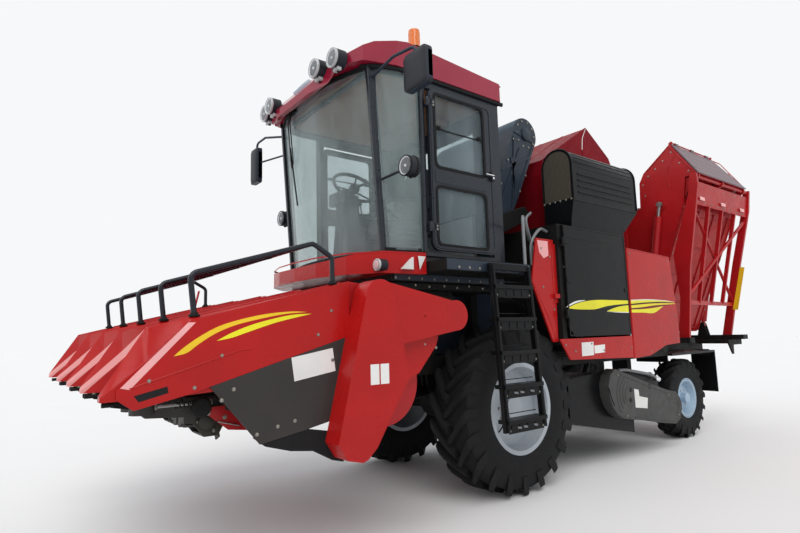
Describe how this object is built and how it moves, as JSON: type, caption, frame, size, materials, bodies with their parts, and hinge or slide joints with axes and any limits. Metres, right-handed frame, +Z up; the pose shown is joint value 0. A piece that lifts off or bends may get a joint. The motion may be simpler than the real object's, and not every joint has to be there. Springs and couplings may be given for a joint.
{
  "type": "combine harvester",
  "caption": "self-propelled maize harvester with a raised snouted header, glazed cab, side elevator and husker, under-slung stalk shredder, rear-wheel steering and a side-tipping ear bin",
  "frame": {"origin": "on the ground under the middle of the machine's bounding box", "axes": "+X forward, towards the header; +Y to the machine's left, the ladder side; +Z up"},
  "size_m": [7.84, 2.8, 3.9549],
  "materials": {
    "red_paint": "gloss",
    "black_paint": "satin",
    "charcoal_paint": "satin",
    "elevator_paint": "satin",
    "silver_paint": "satin",
    "pale_paint": "satin",
    "tyre_rubber": "matte",
    "bare_steel": "worn",
    "cylinder_paint": "satin",
    "clear_glass": "clear",
    "seat_cloth": "woven",
    "dark_plastic": "matte",
    "lamp_plastic": "gloss",
    "amber_plastic": "gloss",
    "grey_tube": "satin"
  },
  "bodies": {
    "chassis": {"chassis_frame": "black_paint", "front_axle": "black_paint", "rear_axle": "black_paint", "rear_mudguards": "black_paint", "engine": "cylinder_paint", "engine_bay": "black_paint", "engine_hood": "black_paint", "side_panels": "red_paint", "elevator": "elevator_paint", "husker_housing": "red_paint", "cab_shell": "black_paint", "cab_glass": "clear_glass", "cab_roof": "red_paint", "cab_fairing": "red_paint", "platform": "black_paint", "ladder": "black_paint", "handrails": "grey_tube", "fender_shields": "red_paint", "mirrors": "dark_plastic", "lamps": "lamp_plastic", "beacon": "amber_plastic", "seat": "seat_cloth", "steering_console": "dark_plastic", "bin_stand": "red_paint"},
    "front_wheel_left": {"front_tyre_left": "tyre_rubber", "front_rim_left": "silver_paint"},
    "front_wheel_right": {"front_tyre_right": "tyre_rubber", "front_rim_right": "silver_paint"},
    "rear_wheel_left": {"rear_tyre_left": "tyre_rubber", "rear_rim_left": "pale_paint"},
    "rear_wheel_right": {"rear_tyre_right": "tyre_rubber", "rear_rim_right": "pale_paint"},
    "steering_knuckle_left": {"knuckle_left": "black_paint"},
    "steering_knuckle_right": {"knuckle_right": "black_paint"},
    "track_rod": {"tie_rod": "black_paint"},
    "left_door": {"cab_door_left": "black_paint", "door_glass_left": "clear_glass"},
    "right_door": {"cab_door_right": "black_paint", "door_glass_right": "clear_glass"},
    "left_service_door": {"service_door_left": "black_paint"},
    "right_service_door": {"service_door_right": "black_paint"},
    "header": {"snouts": "red_paint", "crop_bars": "black_paint", "row_units": "black_paint", "header_frame": "red_paint", "feeder_house": "black_paint", "header_side_panels": "red_paint", "header_lower_panels": "charcoal_paint", "drive_cover": "red_paint"},
    "header_lift_barrels": {"lift_barrels": "cylinder_paint"},
    "header_lift_rods": {"lift_rods": "bare_steel"},
    "shredder": {"shredder_housing": "black_paint", "shredder_guard": "charcoal_paint"},
    "rotor": {"shredder_rotor": "black_paint"},
    "shredder_lift_barrel": {"shredder_barrel": "cylinder_paint"},
    "shredder_lift_rod": {"shredder_rod": "bare_steel"},
    "bin": {"bin_shell": "red_paint"},
    "lid": {"bin_lid": "red_paint"},
    "bin_tip_barrels": {"bin_barrels": "cylinder_paint"},
    "bin_tip_rods": {"bin_rods": "bare_steel"}
  },
  "joints": [
    {"name": "front_left_spin", "type": "hinge", "parent": "chassis", "child": "front_wheel_left", "pos_m": [0.73, 0.797, 0.705], "axis": [0, 1, 0], "continuous": true},
    {"name": "steer_left", "type": "hinge", "parent": "chassis", "child": "steering_knuckle_left", "pos_m": [-2.55, 0.54, 0.475], "axis": [0, 0, 1], "range_deg": [-32, 32]},
    {"name": "rear_left_spin", "type": "hinge", "parent": "steering_knuckle_left", "child": "rear_wheel_left", "pos_m": [-2.55, 0.722, 0.475], "axis": [0, 1, 0], "continuous": true},
    {"name": "front_right_spin", "type": "hinge", "parent": "chassis", "child": "front_wheel_right", "pos_m": [0.73, -0.797, 0.705], "axis": [0, 1, 0], "continuous": true},
    {"name": "steer_right", "type": "hinge", "parent": "chassis", "child": "steering_knuckle_right", "pos_m": [-2.55, -0.54, 0.475], "axis": [0, 0, 1], "range_deg": [-32, 32]},
    {"name": "rear_right_spin", "type": "hinge", "parent": "steering_knuckle_right", "child": "rear_wheel_right", "pos_m": [-2.55, -0.722, 0.475], "axis": [0, 1, 0], "continuous": true},
    {"name": "track_rod_pivot", "type": "hinge", "parent": "steering_knuckle_left", "child": "track_rod", "pos_m": [-2.69, 0.54, 0.415], "axis": [0, 0, 1], "range_deg": [-32, 32]},
    {"name": "left_door_hinge", "type": "hinge", "parent": "chassis", "child": "left_door", "pos_m": [1.598, 0.896, 2.635], "axis": [0, 0, -1], "range_deg": [0, 80]},
    {"name": "right_door_hinge", "type": "hinge", "parent": "chassis", "child": "right_door", "pos_m": [1.598, -0.896, 2.635], "axis": [0, 0, 1], "range_deg": [0, 80]},
    {"name": "left_service_hinge", "type": "hinge", "parent": "chassis", "child": "left_service_door", "pos_m": [0.2, 1.119, 1.735], "axis": [0, 0, -1], "range_deg": [0, 90]},
    {"name": "right_service_hinge", "type": "hinge", "parent": "chassis", "child": "right_service_door", "pos_m": [0.2, -1.119, 1.735], "axis": [0, 0, 1], "range_deg": [0, 90]},
    {"name": "header_lift", "type": "hinge", "parent": "chassis", "child": "header", "pos_m": [1.68, 0, 1.335], "axis": [0, 1, 0], "range_deg": [0, 26]},
    {"name": "header_lift_barrel_pivot", "type": "hinge", "parent": "chassis", "child": "header_lift_barrels", "pos_m": [1.13, 0, 0.835], "axis": [0, 1, 0], "range_deg": [-0.2, 9.52]},
    {"name": "header_lift_rod_slide", "type": "slide", "parent": "header_lift_barrels", "child": "header_lift_rods", "axis": [0.9971, 0, -0.0762], "range_m": [-0.2658, 0.002]},
    {"name": "shredder_lift", "type": "hinge", "parent": "chassis", "child": "shredder", "pos_m": [-0.17, 0, 0.947], "axis": [0, -1, 0], "range_deg": [0, 7]},
    {"name": "shredder_barrel_pivot", "type": "hinge", "parent": "chassis", "child": "shredder_lift_barrel", "pos_m": [-1.83, 0, 1.065], "axis": [0, -1, 0], "range_deg": [-4.76, 0.2]},
    {"name": "shredder_rod_slide", "type": "slide", "parent": "shredder_lift_barrel", "child": "shredder_lift_rod", "axis": [0.508, 0, -0.8614], "range_m": [-0.002, 0.1746]},
    {"name": "rotor_spin", "type": "hinge", "parent": "shredder", "child": "rotor", "pos_m": [-0.79, 0, 0.575], "axis": [0, 1, 0], "continuous": true},
    {"name": "bin_tip", "type": "hinge", "parent": "chassis", "child": "bin", "pos_m": [-2.97, 1.262, 3.153], "axis": [-1, 0, 0], "range_deg": [0, 95]},
    {"name": "lid_hinge", "type": "hinge", "parent": "bin", "child": "lid", "pos_m": [-2.87, 1.01837, 3.63711], "axis": [1, 0, 0], "range_deg": [0, 70]},
    {"name": "bin_barrel_pivot", "type": "hinge", "parent": "chassis", "child": "bin_tip_barrels", "pos_m": [-2.97, 0.56, 1.365], "axis": [1, 0, 0], "range_deg": [-1.48, 0.3]},
    {"name": "bin_rod_slide", "type": "slide", "parent": "bin_tip_barrels", "child": "bin_tip_rods", "axis": [0, 0.1823, 0.9832], "range_m": [-0.003, 0.74715]}
  ],
  "couplings": [
    {"joint": "steer_right", "follows": "steer_left", "ratio": 1},
    {"joint": "track_rod_pivot", "follows": "steer_left", "ratio": -1},
    {"joint": "header_lift_barrel_pivot", "follows": "header_lift", "ratio": 0.35837},
    {"joint": "header_lift_rod_slide", "follows": "header_lift", "m_per_rad": -0.58133},
    {"joint": "shredder_barrel_pivot", "follows": "shredder_lift", "ratio": -0.65202},
    {"joint": "shredder_rod_slide", "follows": "shredder_lift", "m_per_rad": 1.4128},
    {"joint": "bin_barrel_pivot", "follows": "bin_tip", "ratio": -0.012444},
    {"joint": "bin_rod_slide", "follows": "bin_tip", "m_per_rad": 0.44881}
  ]
}
